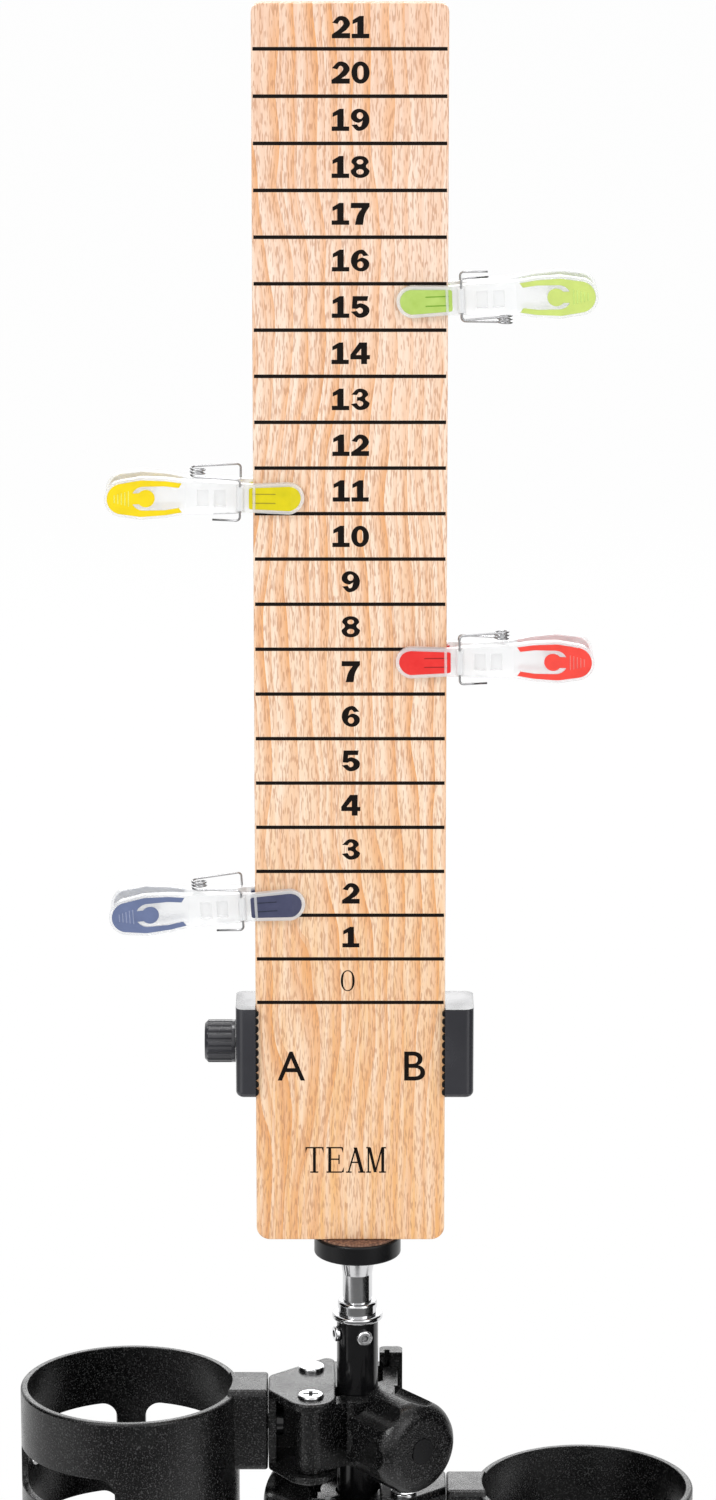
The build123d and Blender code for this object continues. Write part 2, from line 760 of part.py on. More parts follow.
def rear_jaw():
    """Seat behind the pole, held by the rivet, with a bar to the lug that stops the swing arm."""
    half = clamp_height / 2
    inner = half - clamp_plate - seat_gap
    seat_discs = [(-pin_x, rear_pin_y, barrel_r), (-rear_bar_left_x, rear_seat_front_y, plate_tip_r),
                  (-rear_seat_tip_x, rear_bar_y + rear_bar_depth / 2, rear_bar_depth / 2)]
    seat = hull_plate(seat_discs, -inner, inner)
    bar = block(-rear_bar_left_x, lug_right_x - lug_round, rear_bar_y, rear_bar_y + rear_bar_depth,
                -inner, inner)
    lug = block(lug_left_x, lug_right_x, rear_bar_y, lug_back_y, -half, half + lug_rise)
    lug = fillet(upright(lug).group_by(Axis.Y)[-1], lug_round)
    jaw = seat + bar + lug
    jaw -= block(lug_left_x + lug_slot_width, lug_left_x + 2 * lug_slot_width, rear_bar_y - overrun,
                 rear_bar_y + lug_slot_depth, -half - overrun, half + lug_rise + overrun)
    jaw -= post(0, 0, pole_r + rear_seat_gap, -half, half)
    return jaw - post(-pin_x, rear_pin_y, pin_r, -half, half)


def swing_arm():
    """Arm from the front pin round the front of the pole to the lug, with the screw's boss."""
    inner = clamp_height / 2 - clamp_plate - part_gap
    arm_r = pole_r + arm_inner_gap
    web_mid_r = (arm_r + arm_outer_r) / 2
    web_angle = math.radians(arm_web_angle)
    web_end = (web_mid_r * math.cos(web_angle), web_mid_r * math.sin(web_angle), arm_web_r)
    arm = sector(arm_r, arm_outer_r, arm_start_angle, arm_end_angle, -inner, inner)
    arm += hull_plate([(-pin_x, -front_pin_y, barrel_r), web_end], -inner, inner)
    tab = block(arm_tab_left_x, arm_tab_right_x, arm_tab_front_y, arm_tab_back_y, -inner, inner)
    arm += fillet(upright(tab).group_by(Axis.Y)[-1], arm_tab_round)
    arm += press_bar(boss_r, arm_r, boss_reach)
    arm -= post(0, 0, arm_r, -inner - overrun, inner + overrun)
    hinge_reach = math.hypot(pin_x, front_pin_y)
    hinge_angle = math.degrees(math.atan2(front_pin_y, pin_x))
    swept = sector(hinge_reach - arm_r, hinge_reach + arm_r, hinge_angle, hinge_angle + 90,
                   -inner - overrun, inner + overrun)
    arm -= Pos(-pin_x, -front_pin_y, 0) * swept
    arm -= post(-pin_x, -front_pin_y, pin_r + running_fit, -inner - overrun, inner + overrun)
    pad_room = press_pad_start + press_pad_height + press_travel + part_gap
    arm -= press_bar(press_pad_r + running_fit, 0, pad_room)
    return arm - press_bar(press_screw_r + running_fit, 0, boss_reach + overrun)


def press_pad():
    """Pad that the screw presses against the pole."""
    return press_bar(press_pad_r, press_pad_start, press_pad_start + press_pad_height)


def press_screw():
    """Screw from the pad through the arm's boss into the knob."""
    return press_bar(press_screw_r, press_pad_start + press_pad_height + seat_gap, press_screw_reach)


def star_knob():
    """Big knob with rounded grooves that end before its domed face."""
    end = star_start + star_length
    knob = bar_x(0, 0, star_r, star_start, end)
    knob = fillet(knob.edges().group_by(Axis.X)[-1], star_dome)
    for i in range(star_lobes):
        turn = math.radians(360 * (i + 0.5) / star_lobes)
        y = star_groove_centre * math.cos(turn)
        z = star_groove_centre * math.sin(turn)
        knob -= bar_x(y, z, star_groove_r, star_start - overrun, star_start + star_groove_length)
        knob -= Pos(star_start + star_groove_length, y, z) * Sphere(star_groove_r)
    knob -= bar_x(0, 0, star_cup_r, star_start, star_start + star_cup_depth)
    knob -= bar_x(0, 0, press_screw_r, star_start, press_screw_reach)
    knob -= bar_x(0, 0, star_cap_r, end - star_cap_height, end + overrun)
    return Rot(0, 0, press_angle) * knob


def star_cap():
    """Small round cap in the knob's face."""
    end = star_start + star_length
    return press_bar(star_cap_r, end - star_cap_height, end + star_cap_proud)


def swivel_bolt():
    """Bolt through the clamp's outer wall that the cup holder turns on."""
    wall_x = clamp_wall - clamp_reach
    shank = bar_x(swivel_y, 0, swivel_r, wall_x - swivel_length, wall_x)
    return shank + bar_x(swivel_y, 0, swivel_head_r, wall_x, wall_x + swivel_head_height)


def cup_window(start, end, z0, z1):
    """A window in the cup holder's wall, with round corners."""
    cut = sector(holder_r - holder_wall - overrun, holder_r + overrun, start, end, z0, z1)
    corners = [edge for edge in cut.edges().filter_by(GeomType.LINE) if abs((edge % 0).Z) < 0.5]
    return fillet(corners, window_round)


def cup_holder():
    """Round holder with two rows of windows, an open floor and the arm to the clamp."""
    top = clamp_height / 2 - holder_top_drop
    bottom = top - holder_height
    shell = post(0, 0, holder_r, bottom, top)
    shell = fillet(shell.edges().group_by(Axis.Z)[-1], holder_rim_round)
    inner_r = holder_r - holder_wall
    high = top - band_top
    low = high - window_height - band_mid
    for start, end in window_angles:
        shell -= cup_window(start, end, high - window_height, high)
        shell -= cup_window(start, end, low - low_window_height, low)
    arm = block(0, holder_centre_x - arm_block_right_x, -arm_block_front_y, arm_block_back_y,
                -clamp_height / 2, clamp_height / 2)
    arm = fillet(arm.edges().filter_by(Axis.X), arm_block_round)
    arm = fillet(arm.edges().group_by(Axis.X)[-1], arm_block_end_round)
    holder = shell + arm
    holder -= post(0, 0, inner_r, bottom + floor_height, clamp_height)
    holder -= post(0, 0, floor_hole_r, bottom - overrun, bottom + floor_height + overrun)
    holder = Pos(-holder_centre_x, 0, 0) * holder
    bore_end = clamp_wall - clamp_reach - swivel_length - part_gap
    return holder - bar_x(swivel_y, 0, swivel_r + running_fit, bore_end, -arm_block_right_x + overrun)


def save_clamps():
    """Two like clamps with their cup holders, the lower one turned half round."""
    makers = (clamp_body, hinge_screw, rivet, rear_jaw, swing_arm, press_pad, press_screw, star_knob,
              star_cap, swivel_bolt, cup_holder)
    shapes = [(maker.__name__, maker()) for maker in makers]
    for prefix, height, turn in (("upper", upper_clamp_z, 0), ("lower", lower_clamp_z, 180)):
        place = Pos(0, 0, height) * Rot(0, 0, turn)
        for name, shape in shapes:
            save(f"{prefix}_{name}", place * shape)


for piece in (pole_tube, pole_screws, spigot, platform_disc, cork_pad, scoreboard, holder_frame, sliding_jaw,
              guide_rods, jaw_screw, jaw_knob):
    save(piece.__name__, piece())
save("fixed_jaw_pad", jaw_pad(board_right_x, 1))
save("sliding_jaw_pad", jaw_pad(board_left_x, -1))
save_pegs()
save_clamps()
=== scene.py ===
# %% [markdown]
# # A score stick on its pole
# This lesson dresses a finished CAD model in Blender. The object is a tall beech
# board that keeps the score of a throwing game. Four spring pegs slide along its
# edges, a small black holder grips its foot, and the pole below carries two
# clamps with a cup holder each. The CAD model gives every size and place, so the
# work here is surfaces, small shapes and light.

# %% Load the model
import math

import bmesh
import bpy
from mathutils import Matrix, Vector


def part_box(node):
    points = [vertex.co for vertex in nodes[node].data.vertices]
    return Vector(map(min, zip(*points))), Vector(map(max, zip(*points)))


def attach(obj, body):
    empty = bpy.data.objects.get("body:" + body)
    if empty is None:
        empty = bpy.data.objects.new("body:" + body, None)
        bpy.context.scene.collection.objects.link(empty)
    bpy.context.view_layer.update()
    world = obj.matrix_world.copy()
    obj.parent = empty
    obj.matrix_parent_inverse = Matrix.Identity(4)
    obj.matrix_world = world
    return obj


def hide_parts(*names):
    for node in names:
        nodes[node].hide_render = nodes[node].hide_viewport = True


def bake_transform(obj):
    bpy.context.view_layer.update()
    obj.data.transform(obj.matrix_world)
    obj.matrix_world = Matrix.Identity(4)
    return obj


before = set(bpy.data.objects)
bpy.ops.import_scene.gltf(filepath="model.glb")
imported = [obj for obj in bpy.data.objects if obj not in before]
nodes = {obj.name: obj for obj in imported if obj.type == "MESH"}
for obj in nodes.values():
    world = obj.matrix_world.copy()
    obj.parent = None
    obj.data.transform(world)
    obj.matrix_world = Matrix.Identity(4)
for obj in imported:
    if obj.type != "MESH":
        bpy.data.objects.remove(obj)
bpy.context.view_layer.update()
MM = 0.001

# %% [markdown]
# ## Helpers for objects
# Blender's operators work on what is selected and active, so a step starts with a
# clear selection. A finished piece has its place and size in its mesh, stands at
# the origin unturned, and hangs on the CAD body that it moves with.


# %% Helpers for objects
def new_object(name, data):
    """An object around its data, linked into the scene."""
    thing = bpy.data.objects.new(name, data)
    bpy.context.collection.objects.link(thing)
    return thing


def clear_selection():
    """Nothing selected."""
    bpy.ops.object.select_all(action="DESELECT")


def pick(thing):
    """One thing active, and nothing else selected."""
    clear_selection()
    thing.select_set(True)
    bpy.context.view_layer.objects.active = thing


def as_mesh(thing):
    """A text, curve or mesh with modifiers, turned into a plain mesh."""
    pick(thing)
    bpy.ops.object.convert(target="MESH")
    return bpy.context.object


def object_of(name, mesh):
    """A finished bmesh as an object of its own."""
    data = bpy.data.meshes.new(name)
    mesh.to_mesh(data)
    mesh.free()
    return new_object(name, data)


def settle(thing, name, body, mat):
    """Puts a finished piece's place into its mesh and hangs it on its CAD body."""
    thing = as_mesh(thing)
    bpy.ops.object.transform_apply(location=True, rotation=True, scale=True)
    thing.name = name
    thing.data.materials.clear()
    thing.data.materials.append(mat)
    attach(thing, body)


print("helpers for objects ready")

# %% [markdown]
# ## Camera
# The real stick was photographed from a little above, from two metres away, with a
# long lens. A long lens keeps upright lines nearly parallel. A short lens close by
# would show the same frame, but the board would narrow towards its foot.

# %% Camera
camera_place = (0.0002, -2.0057, 0.9205)
camera_tilt = 75.226  # degrees up from straight down
focal_length = 132

camera = new_object("camera", bpy.data.cameras.new("camera"))
camera.data.sensor_fit = "VERTICAL"
camera.data.sensor_width = 36
camera.data.sensor_height = 36
camera.data.lens = focal_length
camera.data.clip_start = 0.05
camera.data.clip_end = 50
camera.location = camera_place
camera.rotation_euler = (math.radians(camera_tilt), 0, 0)
bpy.context.scene.camera = camera
print("camera looks down by", round(90 - camera_tilt, 3), "degrees")

# %% [markdown]
# ## Helpers for materials
# Every material below is made from the same few things: noise in the object's own
# metres, a value moved into another range, two colours mixed, and a little bump.
# Each gets a short function, so a material reads like its recipe. What goes into
# a socket may be a wire from another node or a plain number or colour.


# %% Helpers for materials
def feed(mat, socket, value):
    """Gives a socket its value: a wire from another socket, or a plain number or colour."""
    if isinstance(value, bpy.types.NodeSocket):
        mat.node_tree.links.new(value, socket)
    elif socket.type == "RGBA":
        socket.default_value = (*value, 1)
    else:
        socket.default_value = value


def add_node(mat, kind, inputs=None, **settings):
    """A shader node with its settings, its sockets fed by their names or numbers."""
    node = mat.node_tree.nodes.new("ShaderNode" + kind)
    for name, value in settings.items():
        setattr(node, name, value)
    for key, value in (inputs or {}).items():
        feed(mat, node.inputs[key], value)
    return node


def new_finish(name, colour, roughness, **sockets):
    """A material whose shader holds plain values, and its shader node."""
    mat = bpy.data.materials.new(name)
    mat.use_nodes = True
    shader = mat.node_tree.nodes["Principled BSDF"]
    shader.inputs["Base Color"].default_value = (*colour, 1)
    shader.inputs["Roughness"].default_value = roughness
    for socket, value in sockets.items():
        shader.inputs[socket.replace("_", " ")].default_value = value
    return mat, shader


def toned(colour, share, lift=0.0):
    """A colour times a share, and lifted."""
    return tuple(share * c + lift for c in colour)


def own_place(mat):
    """Where a point lies in the object's own metres."""
    return add_node(mat, "TexCoord").outputs["Object"]


def own_axes(mat):
    """The same place as three values."""
    return add_node(mat, "SeparateXYZ", {0: own_place(mat)}).outputs


def noise(mat, scale, detail, stretch=(1, 1, 1)):
    """Noise in the object's own metres, stretched along an axis where wanted."""
    place = add_node(mat, "Mapping", {"Vector": own_place(mat), "Scale": stretch})
    texture = add_node(mat, "TexNoise", {"Vector": place.outputs["Vector"], "Scale": scale,
                                         "Detail": detail})
    return texture.outputs["Fac"]


def calculate(mat, operation, *values):
    """The result of one operation, such as ADD, on one or two values."""
    return add_node(mat, "Math", dict(enumerate(values)), operation=operation).outputs[0]


def spread(mat, value, low, high, to_low=0.0, to_high=1.0):
    """A value moved from one range into another, and held there."""
    node = add_node(mat, "MapRange", {"Value": value, "From Min": low, "From Max": high,
                                      "To Min": to_low, "To Max": to_high})
    return node.outputs["Result"]


def ramp(mat, value, *stops):
    """Colours along a value, each stop a place and a colour."""
    node = add_node(mat, "ValToRGB", {"Fac": value})
    elements = node.color_ramp.elements
    while len(elements) < len(stops):
        elements.new(0.5)
    for element, (place, colour) in zip(elements, stops):
        element.position = place
        element.color = (*colour, 1)
    return node.outputs["Color"]


def blend_colours(mat, share, first, second):
    """Two colours mixed by a share."""
    return add_node(mat, "Mix", {0: share, 6: first, 7: second}, data_type="RGBA").outputs[2]


def rounded(mat, radius):
    """A normal that runs softly round every edge."""
    return add_node(mat, "Bevel", {"Radius": radius}, samples=4).outputs["Normal"]


def relief(mat, shader, height, distance, strength, edge=0.0):
    """Bump from a height value, over softly rounded edges where wanted."""
    bump = add_node(mat, "Bump", {"Height": height, "Distance": distance, "Strength": strength})
    if edge:
        feed(mat, bump.inputs["Normal"], rounded(mat, edge))
    feed(mat, shader.inputs["Normal"], bump.outputs["Normal"])


print("helpers for materials ready")

# %% [markdown]
# ## Floor, sky and lamps
# The floor and the sky are white to the camera, to gloss and to glass. Light that
# bounces sees the real paper and a dimmer sky instead. A trace of the floor's own
# shading stays, so it keeps a faint shadow. Four soft lamps light the stick: the
# key from the left, the fill from the right, one overhead and a strip behind.


# %% Floor, sky and lamps
def white_backdrop(mat, shader_output, target, share):
    """Mixes plain white in for what the camera, gloss and glass see of the surroundings."""
    path = add_node(mat, "LightPath").outputs
    seen = calculate(mat, "MAXIMUM", path["Is Camera Ray"], path["Is Glossy Ray"])
    seen = calculate(mat, "MAXIMUM", seen, path["Is Transmission Ray"])
    white = add_node(mat, "Emission", {"Strength": 1.0})
    mix = add_node(mat, "MixShader", {"Fac": calculate(mat, "MULTIPLY", seen, share),
                                      1: shader_output, 2: white.outputs[0]})
    feed(mat, target, mix.outputs[0])


def softbox(name, place, aim, size, watts):
    """A flat lamp of a width and a height that looks at a point."""
    lamp = bpy.data.lights.new(name, "AREA")
    lamp.shape = "RECTANGLE"
    lamp.size, lamp.size_y = size
    lamp.energy = watts
    thing = new_object(name, lamp)
    thing.location = place
    thing.rotation_euler = (Vector(aim) - Vector(place)).to_track_quat("-Z", "Y").to_euler()
    return thing


floor_white = 0.97  # the rest is the paper's own shading
clear_selection()
bpy.ops.mesh.primitive_circle_add(vertices=96, radius=14, fill_type="NGON", location=(0, 0, 0))
floor = bpy.context.object
floor.name = "floor"
paper, paper_shader = new_finish("white_paper", (0.93, 0.93, 0.93), 0.95)
paper_end = paper.node_tree.nodes["Material Output"].inputs["Surface"]
white_backdrop(paper, paper_shader.outputs[0], paper_end, floor_white)
floor.data.materials.append(paper)

world = bpy.data.worlds.new("studio")
bpy.context.scene.world = world
world.use_nodes = True
sky = world.node_tree.nodes["Background"]
sky.inputs["Color"].default_value = (0.98, 0.99, 1.0, 1)
sky.inputs["Strength"].default_value = 0.62
sky_end = world.node_tree.nodes["World Output"].inputs["Surface"]
white_backdrop(world, sky.outputs[0], sky_end, 1.0)

softbox("key", (-1.1, -1.5, 1.7), aim=(0, 0, 0.35), size=(0.6, 0.6), watts=16)
softbox("fill", (1.4, -1.2, 1.0), aim=(0, 0, 0.3), size=(1.2, 1.2), watts=9)
softbox("top", (0, 0.3, 2.2), aim=(0, 0, 0.3), size=(0.6, 0.6), watts=11)
rear = softbox("rear_strip", (0, 2.0, 0.88), aim=(0, 0, 0.3), size=(1.5, 0.5), watts=8)
rear.visible_camera = False
bpy.context.scene.view_settings.view_transform = "Standard"
print("floor, sky and four soft lamps")

# %% [markdown]
# ## Dark cards
# White surroundings make plating look like white paint and black plastic like
# grey paint, because gloss has nothing dark to show. Studio photographers stand
# black cards beside such a piece, just outside the picture, and the dim room
# behind the camera does the rest. Two black cards stand at the sides here, one
# lies at the right, and a grey one lies in front for the dim room. Only gloss sees
# them, so they take no light from the board.


# %% Dark cards
def dark_card(name, place, lean, size, tone):
    """A card, leaning from level by an angle in degrees, that only reflections show."""
    clear_selection()
    bpy.ops.mesh.primitive_plane_add(size=1, location=place, rotation=(0, math.radians(lean), 0))
    card = bpy.context.object
    card.name = name
    card.scale = (*size, 1)
    felt, _ = new_finish(name + "_felt", (tone, tone, tone), 0.9, Specular_IOR_Level=0.0)
    card.data.materials.append(felt)
    card.visible_camera = False
    card.visible_diffuse = False
    card.visible_transmission = False
    card.visible_shadow = False


dark_card("left_flag", (-0.75, 0.05, 0.45), lean=90, size=(1.3, 1.1), tone=0.004)
dark_card("right_flag", (0.75, 0.05, 0.45), lean=90, size=(1.3, 1.1), tone=0.004)
dark_card("front_card", (0, -1.35, 0.01), lean=0, size=(0.8, 2.3), tone=0.16)
dark_card("right_card", (0.52, -0.15, 0.012), lean=0, size=(0.45, 0.5), tone=0.01)
print("four cards")

# %% [markdown]
# ## Beech
# The board is pale steamed beech. Up close it shows pale fibres, soft orange
# growth lines that run up the board and wander, and countless short dark flecks.
# A picture of wood would show the same at one size only. Here each of them is a
# noise or wave of its own, stretched along the grain, over a ground tone that
# changes slowly from the foot of the board to its head.


# %% Beech
wander_reach = 0.026  # metres to either side


def growth_lines(mat, wander, scale, low):
    """Lines up the board, sharp on one side, that wander sideways with a value."""
    x, y, z = own_axes(mat)
    moved = calculate(mat, "ADD", x, spread(mat, wander, 0.0, 1.0, -wander_reach, wander_reach))
    warped = add_node(mat, "CombineXYZ", {"X": moved, "Y": y, "Z": z})
    rings = add_node(mat, "TexWave", {"Vector": warped.outputs[0], "Scale": scale,
                                      "Distortion": 1.4, "Detail": 2, "Detail Scale": 0.3},
                     wave_type="BANDS", bands_direction="X", wave_profile="SAW")
    return spread(mat, rings.outputs["Fac"], low, 1.0)


def patchy(mat, lines, patches, share):
    """Lines that come and go in patches, up to a share of their full strength."""
    return spread(mat, calculate(mat, "MULTIPLY", lines, patches), 0.0, 1.0, 0.0, share)


beech, beech_shader = new_finish("beech", (0.9, 0.7, 0.54), 0.42)
_, _, up = own_axes(beech)
wander = noise(beech, 16, 3, (1, 1, 0.3))
grain = ramp(beech, up, (0.2, (0.9, 0.5, 0.2)), (0.31, (0.9, 0.58, 0.32)),
             (0.385, (0.93, 0.69, 0.49)), (0.48, (0.93, 0.7, 0.52)), (0.58, (0.91, 0.67, 0.52)),
             (0.67, (0.85, 0.56, 0.4)))
fibre = spread(beech, noise(beech, 620, 3, (1, 1, 0.045)), 0.36, 0.64, 0.0, 0.5)
grain = blend_colours(beech, fibre, grain, (1.0, 0.86, 0.73))
broad_patches = spread(beech, noise(beech, 24, 3, (1, 1, 0.3)), 0.38, 0.6, 0.25, 1.0)
broad = patchy(beech, growth_lines(beech, wander, 44, 0.4), broad_patches, 0.95)
grain = blend_colours(beech, broad, grain, (0.82, 0.37, 0.12))
fine_patches = spread(beech, noise(beech, 50, 3, (1, 1, 0.25)), 0.4, 0.62, 0.1, 1.0)
fine = patchy(beech, growth_lines(beech, wander, 105, 0.5), fine_patches, 0.7)
grain = blend_colours(beech, fine, grain, (0.76, 0.38, 0.18))
fleck = spread(beech, noise(beech, 1500, 1, (1.2, 1, 0.17)), 0.52, 0.63, 0.0, 0.6)
grain = blend_colours(beech, fleck, grain, (0.52, 0.24, 0.12))
feed(beech, beech_shader.inputs["Base Color"], grain)
feed(beech, beech_shader.inputs["Roughness"], spread(beech, wander, 0.3, 0.7, 0.38, 0.5))
relief(beech, beech_shader, fleck, -0.00004, 0.6)
print("beech has", len(beech.node_tree.nodes), "nodes")

# %% [markdown]
# ## Black plastics and rubber
# Several blacks meet on this object. The jaws of the board holder are smooth and
# half glossy, the clamps and cup holders have the speckle of a sparked mould, the
# pads are dull rubber, and the tube is shiny paint. One black would make them one
# lump. The speckle is bump with slightly paler grains, under a millimetre across,
# so it shows most where the surface turns towards a light. The paler grains are
# painted glints, the grain catching the light put into the colour.


# %% Black plastics and rubber
def black_plastic(name, colour, roughness, shine, grain, depth, edge, painted_glint=0.0):
    """Black moulded plastic with its own grain, faint handling marks, soft edges and painted
    glints.
    """
    mat, shader = new_finish(name, colour, roughness, Specular_IOR_Level=shine)
    marks = spread(mat, noise(mat, 60, 4), 0.35, 0.7, roughness - 0.05, roughness + 0.09)
    feed(mat, shader.inputs["Roughness"], marks)
    patches = spread(mat, noise(mat, 25, 3), 0.3, 0.7)
    tone = blend_colours(mat, patches, colour, toned(colour, 1.5, 0.002))
    # Painted glints: paler flecks in the colour stand in for the grain catching the light.
    if painted_glint:
        painted_glints = spread(mat, noise(mat, grain, 1), 0.54, 0.74)
        tone = blend_colours(mat, painted_glints, tone, toned(colour, 1.0, painted_glint))
    feed(mat, shader.inputs["Base Color"], tone)
    relief(mat, shader, noise(mat, grain, 2), depth, 0.8, edge)
    return mat


smooth_black = black_plastic("smooth_black", (0.028, 0.028, 0.033), 0.24, shine=0.6, grain=900,
                             depth=0.00001, edge=0.0005)
speckled_black = black_plastic("speckled_black", (0.001, 0.001, 0.0011), 0.23, shine=0.4,
                               grain=1600, depth=0.00016, edge=0.0007, painted_glint=0.06)
rubber_black = black_plastic("rubber_black", (0.006, 0.006, 0.006), 0.6, shine=0.2, grain=1800,
                             depth=0.00003, edge=0.0002)
deck_black = black_plastic("deck_black", (0.003, 0.003, 0.0035), 0.3, shine=0.3, grain=1400,
                           depth=0.000015, edge=0.0004)
tube_black = black_plastic("tube_black", (0.003, 0.003, 0.0034), 0.14, shine=0.5, grain=300,
                           depth=0.00001, edge=0.0003)
print("black finishes ready")

# %% [markdown]
# ## Metals and cork
# Plated parts have almost no colour of their own, so they show their
# surroundings. A perfect mirror looks computed. Fine polishing lines and a few
# duller patches make it plating. The cork is a thin dark disc with lighter
# crumbs.


# %% Metals and cork
def metal(name, colour, roughness, scratches, depth, painted_hollow_shade=0.0):
    """Bare or plated metal: fine lines along Z, duller patches and, where wanted, painted shade in
    hollows.
    """
    mat, shader = new_finish(name, colour, roughness, Metallic=1.0)
    duller = spread(mat, noise(mat, 90, 4), 0.3, 0.75, roughness, roughness + 0.14)
    feed(mat, shader.inputs["Roughness"], duller)
    patches = spread(mat, noise(mat, 40, 2), 0.3, 0.7)
    tone = blend_colours(mat, patches, colour, toned(colour, 0.82))
    if painted_hollow_shade:
        # Painted shade: the colour darkens where ambient occlusion finds a hollow, such as a
        # screw's slot.
        shade = add_node(mat, "AmbientOcclusion", {"Distance": painted_hollow_shade}, samples=8)
        tone = blend_colours(mat, spread(mat, shade.outputs["AO"], 0.35, 0.95),
                             toned(colour, 0.08), tone)
    feed(mat, shader.inputs["Base Color"], tone)
    relief(mat, shader, noise(mat, scratches, 3, (1, 1, 0.08)), depth, 0.5, 0.0002)
    return mat


chrome = metal("plated_chrome", (0.72, 0.72, 0.73), 0.06, scratches=1200, depth=0.000005)
screw_chrome = metal("screw_chrome", (0.9, 0.9, 0.91), 0.16, scratches=1200, depth=0.00001,
                     painted_hollow_shade=0.0015)
steel = metal("drawn_steel", (0.5, 0.5, 0.51), 0.22, scratches=2200, depth=0.00001)
cork, cork_shader = new_finish("cork", (0.22, 0.12, 0.08), 0.85)
crumbs = add_node(cork, "TexVoronoi", {"Vector": own_place(cork), "Scale": 900})
crumb_tone = ramp(cork, crumbs.outputs["Distance"], (0.1, (0.34, 0.19, 0.12)),
                  (0.5, (0.2, 0.1, 0.065)), (0.8, (0.09, 0.045, 0.03)))
feed(cork, cork_shader.inputs["Base Color"], crumb_tone)
relief(cork, cork_shader, crumbs.outputs["Distance"], 0.0001, 0.5)
print("metals and cork ready")

# %% [markdown]
# ## Peg plastics
# A peg is clear plastic with soft coloured pads moulded into it. The clear part
# isn't glass: it is cloudy, so about half of what lies behind shows through, and
# edges that are seen end-on are painted grey, as shade. The pads are dense, with a
# slight sheen.


# %% Peg plastics
tail_start, tail_full = 0.048, 0.056  # metres from the stick's middle, to either side


def soft_pad(name, colour, deep, tail=None):
    """Coloured soft plastic, darker in patches, and with its own colour at the tail if given."""
    mat, shader = new_finish(name, colour, 0.4, Specular_IOR_Level=0.35)
    patches = spread(mat, noise(mat, 180, 3), 0.3, 0.72)
    tone = blend_colours(mat, patches, colour, deep)
    if tail:
        sideways, _, _ = own_axes(mat)
        outer = blend_colours(mat, patches, tail, toned(tail, 0.88))
        tail_share = spread(mat, calculate(mat, "ABSOLUTE", sideways), tail_start, tail_full)
        tone = blend_colours(mat, tail_share, tone, outer)
    feed(mat, shader.inputs["Base Color"], tone)
    feed(mat, shader.inputs["Roughness"], spread(mat, noise(mat, 500, 2), 0.3, 0.7, 0.34, 0.5))
    relief(mat, shader, noise(mat, 2400, 2), 0.00002, 0.6, 0.0002)
    return mat


clear, clear_shader = new_finish("cloudy_clear", (1.0, 1.0, 1.0), 0.12, IOR=1.3,
                                 Transmission_Weight=0.2, Alpha=0.55)
cloud = noise(clear, 120, 2)
haze = blend_colours(clear, spread(clear, cloud, 0.3, 0.7), (1.0, 1.0, 1.0), (0.97, 0.975, 0.98))
# Painted shade: the clear colour turns grey where a face is seen end-on.
rim = add_node(clear, "LayerWeight", {"Blend": 0.25})
painted_edge_shade = spread(clear, rim.outputs["Facing"], 0.35, 0.95)
clear_tone = blend_colours(clear, painted_edge_shade, haze, (0.84, 0.85, 0.86))
feed(clear, clear_shader.inputs["Base Color"], clear_tone)
feed(clear, clear_shader.inputs["Roughness"], spread(clear, cloud, 0.3, 0.7, 0.1, 0.18))
feed(clear, clear_shader.inputs["Normal"], rounded(clear, 0.0002))
milky = clear.copy()
milky.name = "milky_clear"
milky.node_tree.nodes["Principled BSDF"].inputs["Alpha"].default_value = 0.88

pad_finishes = {
    "green": soft_pad("lime_soft", (0.475, 0.65, 0.15), (0.39, 0.56, 0.1), (0.62, 0.75, 0.19)),
    "yellow": soft_pad("yellow_soft", (0.75, 0.63, 0.0), (0.64, 0.55, 0.0), (0.95, 0.71, 0.002)),
    "red": soft_pad("red_soft", (0.85, 0.035, 0.03), (0.77, 0.022, 0.02), (0.95, 0.07, 0.05)),
    "navy": soft_pad("navy_soft", (0.075, 0.08, 0.15), (0.05, 0.055, 0.11), (0.15, 0.19, 0.34))}
# Painted shade for the grooves and painted highlights for the ribs: darker and paler copies of each
# pad colour.
painted_shade_finishes = {
    "green": soft_pad("lime_painted_shade", (0.2, 0.4, 0.03), (0.15, 0.33, 0.02)),
    "yellow": soft_pad("yellow_painted_shade", (0.42, 0.35, 0.01), (0.34, 0.28, 0.01)),
    "red": soft_pad("red_painted_shade", (0.42, 0.012, 0.012), (0.33, 0.01, 0.01)),
    "navy": soft_pad("navy_painted_shade", (0.03, 0.035, 0.075), (0.02, 0.025, 0.05))}
painted_highlight_finishes = {
    "green": soft_pad("lime_painted_highlight", (0.62, 0.8, 0.24), (0.55, 0.74, 0.18)),
    "yellow": soft_pad("yellow_painted_highlight", (0.9, 0.85, 0.16), (0.84, 0.78, 0.1)),
    "red": soft_pad("red_painted_highlight", (0.88, 0.2, 0.17), (0.82, 0.14, 0.12)),
    "navy": soft_pad("navy_painted_highlight", (0.3, 0.34, 0.5), (0.24, 0.28, 0.42))}
print("peg finishes", sorted(pad_finishes))

# %% [markdown]
# ## Which piece wears what
# A CAD piece keeps its shape and place. Only its slot is filled. The pegs are told
# by their colour, the board and its holder by their full names, and the pieces of
# the two clamps by what follows upper or lower in their names.


